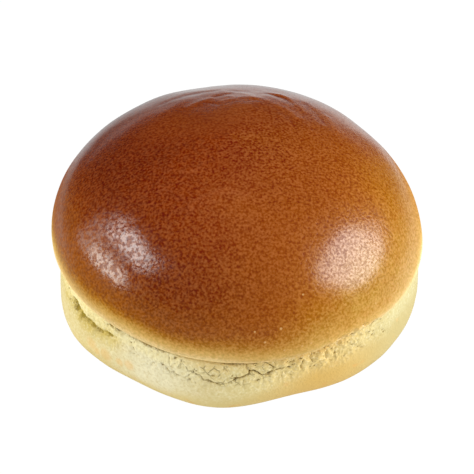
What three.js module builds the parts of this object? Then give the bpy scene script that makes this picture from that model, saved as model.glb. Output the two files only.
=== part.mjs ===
// A glazed brioche bun, baked in one piece: a glossy browned dome whose lip hangs over a pale,
// torn waist, above a softly rounded base with a flat foot.
// Millimetres, +Z up, origin at the middle of the foot. The front of the bun faces -Y.
// A bearing is an angle round the bun in degrees: 0 is the front, 90 the right-hand side (+X).

import * as THREE from "three";
import { ParametricGeometry } from "three/addons/geometries/ParametricGeometry.js";
import { mergeVertices } from "three/addons/utils/BufferGeometryUtils.js";

// Driving dimensions of the whole bun
const HEIGHT = 60.2;
const DOME_RADIUS = 52.8;
const DOME_WIDEST_Z = 24.4;
const DOME_FULLNESS = 2.06; // 2 is an ellipse, more is squarer
const CREASE_RADIUS = 50.4;
const CREASE_Z = 21.3;
const BASE_RADIUS = 52.2;
const BASE_WIDEST_Z = 11.2;
const FOOT_RADIUS = 38.2;

// How the bun is uneven as a whole
const DOME_LEAN = -3.4; // the top of the dome sits this far towards -X
const LEAN_CURVE = 0.75; // below 1, the lean starts low on the dome
const DOME_LUMP = 0.3; // low swellings over the dome
const DOME_LUMP_PITCH = 13;
const DOME_LUMP_WAVES = [ // along x, y and z, as shares of the pitch and angles in radians
  { share: 1, start: 0.6 },
  { share: 0.8, start: 1.1 },
  { share: 0.7, start: 0.3 },
];
const BASE_OVAL = 0.5; // the base is longer front to back
const CREASE_SLANT = -0.7; // the crease is lower on the right
const CREASE_REACH = 0.4; // share of the base's swells that the crease takes
const DOME_LIFT = 0.8; // share of the crease's rise that the widest dome takes

// Swells change a size near one bearing: { at, width } in degrees, { size } in millimetres
const BASE_SWELLS = [
  { at: -62, width: 16, size: 1.8 },
  { at: -36, width: 8, size: -0.3 },
  { at: -10, width: 13, size: 1.25 },
  { at: 18, width: 15, size: -2.0 },
  { at: 94, width: 16, size: -0.4 },
  { at: 140, width: 24, size: -1.0 },
  { at: -150, width: 20, size: 0.7 },
];
const DOME_SWELLS = [
  { at: 88, width: 14, size: -0.2 },
  { at: 124, width: 11, size: -0.5 },
  { at: 153, width: 13, size: 0.9 },
  { at: -164, width: 11, size: -0.7 },
];
const CREASE_SWELLS = [
  { at: -65, width: 25, size: 2.8 },
  { at: -36, width: 15, size: 1.1 },
  { at: -12, width: 14, size: 0.5 },
  { at: 40, width: 20, size: 2.4 },
  { at: 75, width: 20, size: 1.2 },
  { at: 128, width: 26, size: 1.2 },
  { at: -135, width: 24, size: -1.1 },
];

// The crease under the lip: a tight fold that gapes on the left and fades out on the right
const CREASE_OUT_SWELLS = [{ at: 46, width: 22, size: 1.5 }];
const CREASE_DEPTH = 1.2;
const CREASE_DEPTH_SWELLS = [
  { at: -68, width: 26, size: 2.2 },
  { at: 58, width: 28, size: -1.0 },
  { at: 165, width: 30, size: 1.2 },
  { at: -135, width: 22, size: -0.6 },
];
const CREASE_GAPE = 0.55; // half of the fold's height
const CREASE_GAPE_SWELLS = [
  { at: -68, width: 20, size: 1.2 },
  { at: 70, width: 28, size: 1.4 },
  { at: 165, width: 26, size: 0.7 },
];
const CREASE_MIDDLE_SWELLS = [ // where it gapes, it opens downwards
  { at: -62, width: 18, size: 1.3 },
  { at: 165, width: 26, size: 0.5 },
];

// Torn waist below the crease: long cracks, and crags between them
const CRACK_HALF_WIDTH = 0.9;
const CRACK_END = 6; // degrees over which a crack runs out
const CRACKS = [
  { from: -34, to: 25, drop: 6.6, wander: 1.1, waves: 9, depth: 0.9 },
  { from: 96, to: 148, drop: 5.0, wander: 0.9, waves: 11, depth: 0.8 },
  { from: 158, to: 236, drop: 7.2, wander: 1.2, waves: 8, depth: 0.9 },
];
const CRAG_HEIGHT = 0.55;
const CRAG_DROP = 4.5; // the crags are roughest this far below the crease
const CRAG_SPREAD = 4.2;
const SMALL_CRAG_SHARE = 0.5;
const CRAG_WAVES = [ // crests round the bun, radians for each millimetre up, start
  { round: 23, up: 0.55, start: 0.4 },
  { round: 17, up: -0.8, start: 1.3 },
  { round: 38, up: 0.35, start: 2.6 },
];
const SMOOTH_SIDE = { at: 72, width: 24 }; // the waist is hardly torn here

// Facets: slices round the bun, and rings up each stretch of its outline
const SLICES = 144;
const MERGE_GAP = 1e-3;
const FOOT_RINGS = 2;
const HEEL_RINGS = 5;
const FLANK_RINGS = 9;
const LIP_RINGS = 6;
const DOME_RINGS = 14;

const CRUST_COLOUR = 0x9c5521;
const CRUST_ROUGHNESS = 0.35;

const { exp, sin, cos, PI } = Math;
const radians = THREE.MathUtils.degToRad;

// The signed angle from one bearing to another, from -180 to 180
function turn(from, to) {
  return THREE.MathUtils.euclideanModulo(to - from + 180, 360) - 180;
}

// A smooth hump of height 1 at a bearing
function hump(bearing, { at, width }) {
  return exp(-((turn(at, bearing) / width) ** 2));
}

function swelling(bearing, swells) {
  return swells.reduce((sum, swell) => sum + swell.size * hump(bearing, swell), 0);
}

// The main sizes at one bearing
function sizesAt(bearing) {
  const reach = BASE_OVAL * cos(radians(2 * bearing)) + swelling(bearing, BASE_SWELLS);
  const lift = CREASE_SLANT * sin(radians(bearing)) + swelling(bearing, CREASE_SWELLS);
  return {
    foot: FOOT_RADIUS + reach,
    base: BASE_RADIUS + reach,
    crease: CREASE_RADIUS + CREASE_REACH * reach + swelling(bearing, CREASE_OUT_SWELLS),
    dome: DOME_RADIUS + swelling(bearing, DOME_SWELLS),
    creaseZ: CREASE_Z + lift,
    domeZ: DOME_WIDEST_Z + DOME_LIFT * lift,
  };
}

// The outline's stretches from the middle of the foot to the top of the dome.
// Each gives [radius, height] at a share from 0 to 1 of its way up.
const stretches = [
  { rings: FOOT_RINGS, at: (share, size) => [size.foot * share, 0] },
  { rings: HEEL_RINGS, at: heelAt },
  { rings: FLANK_RINGS, at: flankAt },
  { rings: LIP_RINGS, at: lipAt },
  { rings: DOME_RINGS, at: domeAt },
];

function heelAt(share, size) {
  const angle = (share * PI) / 2;
  return [
    size.foot + (size.base - size.foot) * sin(angle),
    BASE_WIDEST_Z * (1 - cos(angle)),
  ];
}

function flankAt(share, size) {
  const angle = (share * PI) / 2;
  return [
    size.crease + (size.base - size.crease) * cos(angle),
    BASE_WIDEST_Z + (size.creaseZ - BASE_WIDEST_Z) * sin(angle),
  ];
}

function lipAt(share, size) {
  const angle = ((1 - share) * PI) / 2;
  return [
    size.crease + (size.dome - size.crease) * cos(angle),
    size.domeZ - (size.domeZ - size.creaseZ) * sin(angle),
  ];
}

function domeAt(share, size) {
  const angle = (share * PI) / 2;
  const across = Math.max(cos(angle), 0) ** (2 / DOME_FULLNESS);
  const up = sin(angle) ** (2 / DOME_FULLNESS);
  return [size.dome * across, size.domeZ + (HEIGHT - size.domeZ) * up];
}

// How far the crease, the cracks and the crags sink the waist at a height below the crease
function waistSink(bearing, drop) {
  const depth = CREASE_DEPTH + swelling(bearing, CREASE_DEPTH_SWELLS);
  const gape = CREASE_GAPE + swelling(bearing, CREASE_GAPE_SWELLS);
  const middle = swelling(bearing, CREASE_MIDDLE_SWELLS);
  const fold = depth * exp(-(((drop - middle) / gape) ** 2));
  const torn = 1 - hump(bearing, SMOOTH_SIDE);
  return fold + crackSink(bearing, drop) + torn * cragSink(bearing, drop);
}

function crackSink(bearing, drop) {
  return CRACKS.reduce((sink, crack) => {
    const middle = (crack.from + crack.to) / 2;
    const past = Math.abs(turn(middle, bearing)) - (crack.to - crack.from) / 2;
    const fade = 1 - THREE.MathUtils.smoothstep(past, -CRACK_END, 0);
    const line = crack.drop + crack.wander * sin(radians(crack.waves * bearing));
    return sink + crack.depth * fade * exp(-(((drop - line) / CRACK_HALF_WIDTH) ** 2));
  }, 0);
}

function cragSink(bearing, drop) {
  const [broad, crossing, small] = CRAG_WAVES.map((wave) =>
    sin(wave.round * radians(bearing) + wave.up * drop + wave.start),
  );
  const band = exp(-(((drop - CRAG_DROP) / CRAG_SPREAD) ** 2));
  return CRAG_HEIGHT * band * (broad * crossing + SMALL_CRAG_SHARE * small);
}

function domeLump(...place) {
  return DOME_LUMP_WAVES.reduce((height, { share, start }, axis) => {
    const angle = (PI * share * place[axis]) / DOME_LUMP_PITCH + start;
    return height * sin(angle);
  }, DOME_LUMP);
}

const RINGS = stretches.reduce((sum, stretch) => sum + stretch.rings, 0);

// The stretch that a share of all the rings falls in, and the share of that stretch
function stretchAt(upward) {
  let ring = upward * RINGS;
  for (const stretch of stretches) {
    if (ring <= stretch.rings || stretch === stretches.at(-1)) {
      return [stretch, ring / stretch.rings];
    }
    ring -= stretch.rings;
  }
}

// A point of the bun's skin, from its share of the way round and up
function skinPoint(round, upward, target) {
  const bearing = 360 * round - 180;
  const size = sizesAt(bearing);
  const [stretch, share] = stretchAt(upward);
  let [radius, z] = stretch.at(share, size);
  if (z > 0) radius -= waistSink(bearing, size.creaseZ - z);

  const rise = THREE.MathUtils.clamp((z - CREASE_Z) / (HEIGHT - CREASE_Z), 0, 1);
  const x = radius * sin(radians(bearing)) + DOME_LEAN * rise ** LEAN_CURVE;
  const y = -radius * cos(radians(bearing));
  target.set(x, y, z + rise * domeLump(x, y, z));
}

// The bun's closed skin, with its box centred over the origin
function bunGeometry() {
  const skin = new ParametricGeometry(skinPoint, SLICES, RINGS);
  skin.deleteAttribute("normal");
  skin.deleteAttribute("uv");
  const geometry = mergeVertices(skin, MERGE_GAP);
  geometry.computeBoundingBox();
  const middle = geometry.boundingBox.getCenter(new THREE.Vector3());
  geometry.translate(-middle.x, -middle.y, 0);
  geometry.computeVertexNormals();
  return geometry;
}

const crust = new THREE.MeshStandardMaterial({
  color: CRUST_COLOUR,
  roughness: CRUST_ROUGHNESS,
  metalness: 0,
});

const bun = new THREE.Mesh(bunGeometry(), crust);
bun.name = "bun";

const part = new THREE.Group();
part.add(bun);

export default part;
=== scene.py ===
# %% [markdown]
# A glazed brioche bun.
# The bun is one piece of bread. Its dome was brushed with egg and browned in the oven, its waist tore
# open as the dough rose, and its foot baked flat on a tray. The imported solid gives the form. This
# lesson lays a finer skin over that form, carves the cracks and pits that the solid leaves out, and
# then works out how brown, how torn and how glossy each point of the skin is.

# %% Load the frame
import math
import random

import bpy
import numpy as np
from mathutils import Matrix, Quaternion, Vector, noise


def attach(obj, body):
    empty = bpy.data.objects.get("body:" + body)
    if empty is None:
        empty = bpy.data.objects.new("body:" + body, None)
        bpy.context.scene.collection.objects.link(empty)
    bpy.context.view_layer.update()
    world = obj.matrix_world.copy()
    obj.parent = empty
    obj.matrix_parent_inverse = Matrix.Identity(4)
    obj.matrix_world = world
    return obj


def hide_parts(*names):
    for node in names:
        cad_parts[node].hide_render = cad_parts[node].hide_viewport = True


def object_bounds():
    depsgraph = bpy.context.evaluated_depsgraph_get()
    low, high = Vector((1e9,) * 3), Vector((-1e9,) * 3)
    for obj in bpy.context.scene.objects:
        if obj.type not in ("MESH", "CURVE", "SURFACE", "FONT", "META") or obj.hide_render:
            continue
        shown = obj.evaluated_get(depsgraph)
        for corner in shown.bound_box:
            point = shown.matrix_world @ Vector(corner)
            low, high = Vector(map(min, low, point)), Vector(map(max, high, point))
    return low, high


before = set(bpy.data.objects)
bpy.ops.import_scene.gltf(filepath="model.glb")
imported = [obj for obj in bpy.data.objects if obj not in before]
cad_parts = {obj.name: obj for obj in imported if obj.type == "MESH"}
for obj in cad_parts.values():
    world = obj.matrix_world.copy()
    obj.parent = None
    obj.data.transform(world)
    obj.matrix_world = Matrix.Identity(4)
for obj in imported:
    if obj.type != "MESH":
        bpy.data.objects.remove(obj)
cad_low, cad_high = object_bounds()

MM = 0.001
cad_size = [round(side / MM, 1) for side in cad_high - cad_low]
print("The solid measures", cad_size, "mm")

# %% [markdown]
# The sizes of the bun.
# A bun is round, so a place on it is best given by a bearing, an angle round it in degrees: 0 is the
# front and 90 the right-hand side. It is also uneven, as all hand-shaped bread is. A list of swells
# says so in few numbers: each changes a size near one bearing and dies away smoothly on both sides.

# %% Driving sizes, in millimetres
HEIGHT = 60.2
DOME_RADIUS = 52.8
DOME_WIDEST_Z = 24.4
DOME_FULLNESS = 2.06
CREASE_RADIUS = 50.4
CREASE_Z = 21.3
BASE_RADIUS = 52.2
BASE_WIDEST_Z = 11.2
FOOT_RADIUS = 38.2
BASE_OVAL = 0.5
CREASE_SLANT = -0.7
CREASE_REACH = 0.4
DOME_LIFT = 0.8

# Each swell is (bearing, width in degrees, size in millimetres)
BASE_SWELLS = [
    (-62, 16, 1.8),
    (-36, 8, -0.3),
    (-10, 13, 1.25),
    (18, 15, -2.0),
    (94, 16, -0.4),
    (140, 24, -1.0),
    (-150, 20, 0.7),
]
DOME_SWELLS = [(88, 14, -0.2), (124, 11, -0.5), (153, 13, 0.9), (-164, 11, -0.7)]
CREASE_SWELLS = [
    (-65, 25, 2.8),
    (-36, 15, 1.1),
    (-12, 14, 0.5),
    (40, 20, 2.4),
    (75, 20, 1.2),
    (128, 26, 1.2),
    (-135, 24, -1.1),
]
CREASE_OUT_SWELLS = [(46, 22, 1.5)]
swell_count = sum(map(len, [BASE_SWELLS, DOME_SWELLS, CREASE_SWELLS, CREASE_OUT_SWELLS]))
print(swell_count, "swells make the bun uneven")


# %% Sizes at a bearing
def turn(start, end):
    """The signed angle from one bearing to another, from -180 to 180."""
    return (end - start + 180) % 360 - 180


def hump(bearing, at, width):
    """A smooth hump of height 1 at a bearing."""
    return np.exp(-((turn(at, bearing) / width) ** 2))


def swelling(bearing, swells):
    return sum(size * hump(bearing, at, width) for at, width, size in swells)


def sizes_at(bearing):
    """The radius of foot, base, crease and dome, and the heights of crease and dome, at bearings."""
    reach = BASE_OVAL * np.cos(np.radians(2 * bearing)) + swelling(bearing, BASE_SWELLS)
    lift = CREASE_SLANT * np.sin(np.radians(bearing)) + swelling(bearing, CREASE_SWELLS)
    return {
        "foot": FOOT_RADIUS + reach,
        "base": BASE_RADIUS + reach,
        "crease": CREASE_RADIUS + CREASE_REACH * reach + swelling(bearing, CREASE_OUT_SWELLS),
        "dome": DOME_RADIUS + swelling(bearing, DOME_SWELLS),
        "crease_z": CREASE_Z + lift,
        "dome_z": DOME_WIDEST_Z + DOME_LIFT * lift,
    }


front = sizes_at(0.0)
print("At the front the crease is", round(float(front["crease_z"]), 1), "mm up")

# %% [markdown]
# The outline.
# Cut through the middle, the bun's outline is five stretches: the flat foot, the rounded heel, the
# flank that rises to the crease, the lip that hangs over it, and the dome. The three round ones are
# quarter ellipses and the dome is a slightly squarer curve. Rings of points go up this outline.
# The torn waist needs points every fifth of a millimetre for its cracks, and the smooth dome far
# fewer. The points also crowd towards the front, which is looked at most.


# %% The outline's stretches
def foot_stretch(share, size):
    radius = size["foot"] * share
    return radius, np.zeros_like(radius)


def heel_stretch(share, size):
    angle = share * math.pi / 2
    radius = size["foot"] + (size["base"] - size["foot"]) * np.sin(angle)
    return radius, np.full_like(radius, BASE_WIDEST_Z * (1 - np.cos(angle)))


def flank_stretch(share, size):
    angle = share * math.pi / 2
    radius = size["crease"] + (size["base"] - size["crease"]) * np.cos(angle)
    return radius, BASE_WIDEST_Z + (size["crease_z"] - BASE_WIDEST_Z) * np.sin(angle)


def lip_stretch(share, size):
    angle = (1 - share) * math.pi / 2
    radius = size["crease"] + (size["dome"] - size["crease"]) * np.cos(angle)
    return radius, size["dome_z"] - (size["dome_z"] - size["crease_z"]) * np.sin(angle)


def dome_stretch(share, size):
    angle = share * math.pi / 2
    across = np.maximum(np.cos(angle), 0) ** (2 / DOME_FULLNESS)
    up = np.sin(angle) ** (2 / DOME_FULLNESS)
    return size["dome"] * across, size["dome_z"] + (HEIGHT - size["dome_z"]) * up


print("At the front the lip hangs over by", round(float(front["dome"] - front["crease"]), 1), "mm")

# %% Rings of points
# Each stretch with its first and last share, its ring spacing in millimetres, and its slices
WAIST_SLICES = 1008
DOME_SLICES = 336
TORN_FROM = 0.22
STRETCHES = [
    (foot_stretch, 0, 1, 9.0, DOME_SLICES),
    (heel_stretch, 0, 1, 1.6, WAIST_SLICES),
    (flank_stretch, 0, TORN_FROM, 0.6, WAIST_SLICES),
    (flank_stretch, TORN_FROM, 1, 0.22, WAIST_SLICES),
    (lip_stretch, 0, 1, 0.25, WAIST_SLICES),
    (dome_stretch, 0, 1, 0.85, DOME_SLICES),
]
FRONT_CROWDING = 0.4
OUTLINE_SAMPLES = 500


def even_shares(stretch, first, last, spacing):
    """Shares of a stretch that lie evenly along the outline."""
    fine = np.linspace(first, last, OUTLINE_SAMPLES)
    radius, z = stretch(fine, front)
    run = np.concatenate([[0], np.cumsum(np.hypot(np.diff(radius), np.diff(z)))])
    steps = max(round(run[-1] / spacing), 2)
    return np.interp(np.linspace(0, run[-1], steps + 1), run, fine)


def ring_of(stretch, share, slices):
    """The bearing, radius and height of each point of one ring."""
    even = np.linspace(-math.pi, math.pi, slices, endpoint=False)
    bearing = np.degrees(even - FRONT_CROWDING * np.sin(even))
    radius, z = stretch(share, sizes_at(bearing))
    return bearing, radius, z


# Two stretches meet in one ring, which only one of them makes
rings = []
for stretch, first, last, spacing, slices in STRETCHES:
    shares = even_shares(stretch, first, last, spacing)
    if stretch is foot_stretch:
        shares = shares[:-1]
    elif stretch is not heel_stretch:
        shares = shares[1:]
    for share in shares:
        at_axis = (stretch is foot_stretch and share == 0) or (stretch is dome_stretch and share == 1)
        rings.append(ring_of(stretch, share, 1 if at_axis else slices))

ring_lengths = [len(ring[0]) for ring in rings]
bearing, radius, z = (np.concatenate(column) for column in zip(*rings))
drop = sizes_at(bearing)["crease_z"] - z
print(len(rings), "rings hold", len(bearing), "points")

# %% [markdown]
# The lean of the dome.
# The dough was set down a little askew, so the dome leans to the left as it rises. All the relief below
# is worked out at the points' places in space, with the lean already in them.

# %% Lean the dome
DOME_LEAN = -3.4
LEAN_CURVE = 0.75

rise = np.clip((z - CREASE_Z) / (HEIGHT - CREASE_Z), 0, 1)


def places(radius):
    """The points of the skin in millimetres, for their radii."""
    angle = np.radians(bearing)
    lean = DOME_LEAN * rise**LEAN_CURVE
    return np.stack([radius * np.sin(angle) + lean, -radius * np.cos(angle), z], axis=1)


plain = places(radius)
print("The dome leans", round(float(-plain[-1][0]), 1), "mm at its top")

# %% [markdown]
# Uneven surfaces from noise.
# Torn bread has lumps of every size. Smooth noise gives lumps about one pitch across, and it is
# sampled at the points' places in space, so it has no seam. Noise with a fold at zero, called ridged
# here, gives sharp backs, or round lumps with sharp valleys between them when it is turned over.

# %% Noise helpers
SEED_SHIFT = np.array([17.3, 41.9, 73.1])
RAGGED_PITCH = 1.7


def lumps(points, pitch, seed):
    """Smooth noise from about -1 to 1 whose lumps are about one pitch across."""
    shifted = points / pitch + SEED_SHIFT * seed
    return np.array([noise.noise(Vector(place)) for place in shifted.tolist()])


def ridged(points, pitch, seed):
    return 1 - 2 * np.abs(lumps(points, pitch, seed))


def smooth_step(value, low, high):
    share = np.clip((value - low) / (high - low), 0, 1)
    return share * share * (3 - 2 * share)


def band(value, first, last):
    """1 in a band of values, fading in between the two first ones and out between the two last."""
    return smooth_step(value, *first) * (1 - smooth_step(value, *last))


ragged_round = lumps(plain, RAGGED_PITCH, 1)
ragged_down = lumps(plain, RAGGED_PITCH, 2)
print("Ragged edges wander by up to", round(float(np.abs(ragged_down).max()), 2), "of their size")

# %% [markdown]
# The crease under the lip.
# The dome's skin set first and the dough below went on rising, so the lip hangs over a fold. The fold
# is tight and dark along the front, and on the right it closes to a smooth pale band. One groove with
# a depth, a half height and a middle that change with the bearing gives both. Grooves this fine look
# dark inside because little light gets in, so each one adds to a number, the seam shade, that the
# finish uses to paint that shade into the colour.

# %% Carve the crease
CREASE_DEPTH = 1.2
CREASE_DEPTH_SWELLS = [
    (-66, 22, -1.05),
    (-6, 16, -0.3),
    (38, 18, -0.9),
    (70, 26, -1.0),
    (165, 30, 1.1),
]
CREASE_GAPE = 0.32
CREASE_GAPE_SWELLS = [(30, 14, 0.5), (70, 28, 1.4), (165, 26, 0.6)]
CREASE_MIDDLE = 0.15
CREASE_MIDDLE_SWELLS = [(-62, 13, 0.5), (-32, 12, -0.25), (165, 26, 0.4)]
CREASE_RAGGED = 0.3
# How dark the painted shade along the crease is round the bun, and how wide it spreads
SEAM_DARK = 0.9
SEAM_DARK_SWELLS = [
    (-64, 13, -0.8),
    (-33, 9, 0.2),
    (-14, 10, -0.45),
    (-95, 14, -0.3),
    (32, 14, -0.8),
    (72, 26, -0.9),
]
SEAM_HALF_WIDTH = 0.42
SEAM_WIDTH_SWELLS = [(-31, 12, 0.5)]
SEAM_REACH = 3


def seam_shade_of(gap, half_width, dark):
    """Painted shade in a seam: darkest at its middle, falling evenly to nothing at three half widths."""
    return dark * np.clip(1 - gap / (SEAM_REACH * half_width), 0, 1)


crease_depth = np.maximum(CREASE_DEPTH + swelling(bearing, CREASE_DEPTH_SWELLS), 0)
crease_gape = CREASE_GAPE + swelling(bearing, CREASE_GAPE_SWELLS)
crease_middle = CREASE_MIDDLE + swelling(bearing, CREASE_MIDDLE_SWELLS) + CREASE_RAGGED * ragged_down
crease_gap = np.abs(drop - crease_middle)
crease_shape = np.exp(-((crease_gap / crease_gape) ** 2))
crease_sink = crease_depth * crease_shape
crease_dark = np.clip(SEAM_DARK + swelling(bearing, SEAM_DARK_SWELLS), 0, 1)
seam_width = SEAM_HALF_WIDTH + swelling(bearing, SEAM_WIDTH_SWELLS)
seam = seam_shade_of(crease_gap, seam_width, crease_dark)
print("The crease is up to", round(float(crease_sink.max()), 1), "mm deep")

# %% [markdown]
# Cracks and torn edges.
# Below the crease the pale crumb tore into plates. The long crack across the front and the short ones
# that join it to the crease are drawn as lines of a few points, each a bearing and a drop below the
# crease. The cracks round the back follow a seeded random walk. A point's distance from the nearest
# line gives a groove with slightly raised edges, and the ragged noise makes it wander. A line with a
# negative depth is a ridge: a flap of skin that tore but did not fall. On the left a strip of the lip
# tore away whole, and the cleft below it is a wider groove of uneven depth.

# %% Draw the front cracks
# Each crack is (depth, half width, points), with points as (bearing, drop)
FRONT_CRACKS = [
    (0.4, 0.25, [(-24, 4.6), (-22.5, 5.3), (-21.5, 5.8), (-20, 5.7), (-18.8, 6.3), (-16.5, 6.0)]),
    (0.5, 0.28, [(-14, 4.0), (-11.2, 4.9), (-10.5, 5.8), (-9, 5.8), (-7.2, 6.3), (-5.8, 6.8)]),
    (0.7, 0.33, [(-2.2, 5.2), (1, 4.2), (2.8, 3.5), (3, 2.6), (4.2, 2.9), (6.5, 4.8), (8.5, 4.8)]),
    (0.6, 0.30, [(8.5, 4.8), (9.8, 4.2), (11.2, 3.7), (14, 3.8), (15.5, 4.2)]),
    (0.5, 0.27, [(1.8, 0.4), (1.8, 1.4), (2.8, 2.6)]),
    (0.5, 0.27, [(7.2, 0.6), (8.8, 1.6), (10.2, 2.9)]),
    (0.3, 0.20, [(-22, 1.1), (-21.2, 3.4)]),
    (0.3, 0.20, [(-19.8, 1.4), (-18.2, 1.4), (-16.8, 1.9)]),
    (0.4, 0.22, [(-5.8, 6.8), (-4.0, 6.2), (-2.2, 5.2)]),
    (0.3, 0.20, [(-16.5, 6.0), (-15.2, 5.2), (-14, 4.0), (-13.4, 2.6)]),
    (0.4, 0.26, [(19.8, 2.6), (19.4, 4.2), (19.0, 5.6)]),
    (0.4, 0.26, [(22.5, 1.2), (22, 2.7), (23.2, 4.7)]),
    (0.4, 0.24, [(27.2, 1.9), (27.6, 3.4), (27.2, 4.8)]),
    (0.3, 0.22, [(30.5, 2.2), (30.2, 4.7)]),
    (-0.5, 0.7, [(-55, 1.6), (-51.5, 3.0), (-48.5, 4.2), (-46.5, 4.8)]),
]
# The cleft on the left, where a strip of the lip tore away from the waist
CLEFT = [(-80, 1.0), (-72, 1.8), (-66, 2.9), (-61, 4.2)]
CLEFT += [(-57, 5.2), (-53, 5.5), (-48, 5.4), (-43, 4.8)]
print(len(FRONT_CRACKS) + 1, "lines drawn on the front")

# %% Walk the back cracks
WALK_STEP = 3.5
SHORT_LEAN = 3
SHORT_BEND = 0.6  # the share of its lean that a short crack has half way down
SHORT_TOP = 0.4
SHORT_BOTTOMS = (3, 6)
crack_draws = random.Random(7)


def walked_crack(first, last, middle, wander):
    """Points of a crack that wanders about a middle drop between two bearings."""
    count = round((last - first) / WALK_STEP)
    stops = [first + (last - first) * step / count for step in range(count + 1)]
    return [(stop, middle + crack_draws.uniform(-wander, wander)) for stop in stops]


def short_crack(first, last, top, bottom):
    """A short crack somewhere between two bearings, running down from the crease."""
    start = crack_draws.uniform(first, last)
    lean = crack_draws.uniform(-SHORT_LEAN, SHORT_LEAN)
    half_way = (start + SHORT_BEND * lean, (top + bottom) / 2)
    return [(start, top), half_way, (start + lean, bottom)]


back_cracks = [
    (0.8, 0.36, walked_crack(96, 150, 4.8, 1.1)),
    (0.9, 0.36, walked_crack(160, 238, 6.0, 1.4)),
    (0.5, 0.32, walked_crack(-98, -84, 6.2, 0.8)),
]
for first, last, count in [(98, 150, 5), (160, 236, 8)]:
    for _ in range(count):
        bottom = crack_draws.uniform(*SHORT_BOTTOMS)
        back_cracks.append((0.6, 0.32, short_crack(first, last, SHORT_TOP, bottom)))
print(len(back_cracks), "cracks walked round the back")

# %% Carve the cracks
DEGREE_MM = math.radians(1) * CREASE_RADIUS
CRACK_RAGGED = 0.45
CRACK_EDGE = 0.14
CRACK_EDGE_REACH = 3
# How dark a crack's painted seam shade is, with no depth and for each millimetre of it
CRACK_DARK = (0.42, 0.5)
CLEFT_DEPTH = 0.7
CLEFT_MIDDLE = 0.6
CLEFT_LIMITS = (0.1, 1.2)
CLEFT_UNEVEN = 0.9
CLEFT_LUMP_PITCH = 2.6
CLEFT_HALF_WIDTH = 0.8
HOLLOW_SHADE_HALF_WIDTH = 3.0
# The hollow's share of its painted shade, with no cleft and added by a full one
HOLLOW_SHADE_SHARES = (0.4, 0.6)


def distance_to_line(points):
    """How far each point of the skin is from a crack's line, in millimetres."""
    start = points[0][0]
    across = turn(start, bearing) * DEGREE_MM + CRACK_RAGGED * ragged_round
    down = drop + CRACK_RAGGED * ragged_down
    nearest = np.full(len(bearing), np.inf)
    for (from_bearing, from_drop), (to_bearing, to_drop) in zip(points, points[1:]):
        from_across = turn(start, from_bearing) * DEGREE_MM
        run = turn(from_bearing, to_bearing) * DEGREE_MM
        fall = to_drop - from_drop
        share = ((across - from_across) * run + (down - from_drop) * fall) / (run**2 + fall**2)
        share = np.clip(share, 0, 1)
        gap = np.hypot(across - from_across - share * run, down - from_drop - share * fall)
        nearest = np.minimum(nearest, gap)
    return nearest


crack_sink = np.zeros(len(bearing))
for depth, half_width, points in FRONT_CRACKS + back_cracks:
    gap = distance_to_line(points)
    groove = np.exp(-((gap / half_width) ** 2))
    edge = np.exp(-((gap / (CRACK_EDGE_REACH * half_width)) ** 2)) * (1 - groove)
    crack_sink += depth * (groove - CRACK_EDGE * edge)
    if depth > 0:
        dark = CRACK_DARK[0] + CRACK_DARK[1] * depth
        seam = np.maximum(seam, seam_shade_of(gap, half_width, dark))

cleft_gap = distance_to_line(CLEFT)
cleft_share = CLEFT_MIDDLE + CLEFT_UNEVEN * lumps(plain, CLEFT_LUMP_PITCH, 12)
cleft_share = np.clip(cleft_share, *CLEFT_LIMITS)
crack_sink += CLEFT_DEPTH * cleft_share * np.exp(-((cleft_gap / CLEFT_HALF_WIDTH) ** 2))
# Painted shade in the broad hollow round the cleft
hollow_shade = np.clip(HOLLOW_SHADE_SHARES[0] + HOLLOW_SHADE_SHARES[1] * cleft_share, 0, 1)
hollow_shade = hollow_shade * np.exp(-((cleft_gap / HOLLOW_SHADE_HALF_WIDTH) ** 2))
print(len(FRONT_CRACKS) + len(back_cracks) + 1, "cracks carved")

# %% [markdown]
# Pits and crumbs.
# A pit is where a bubble opened. The deep ones lie along the cleft on the left, a few small ones are in
# the lip on the right, and a scatter of tiny ones peppers the rough stretches of the waist. A crumb is
# the opposite, a knob of dough that the tear pulled out. Both are dents with a radius and a depth: a
# pit is wider than it is tall, and a crumb is round, with a negative depth.

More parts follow.
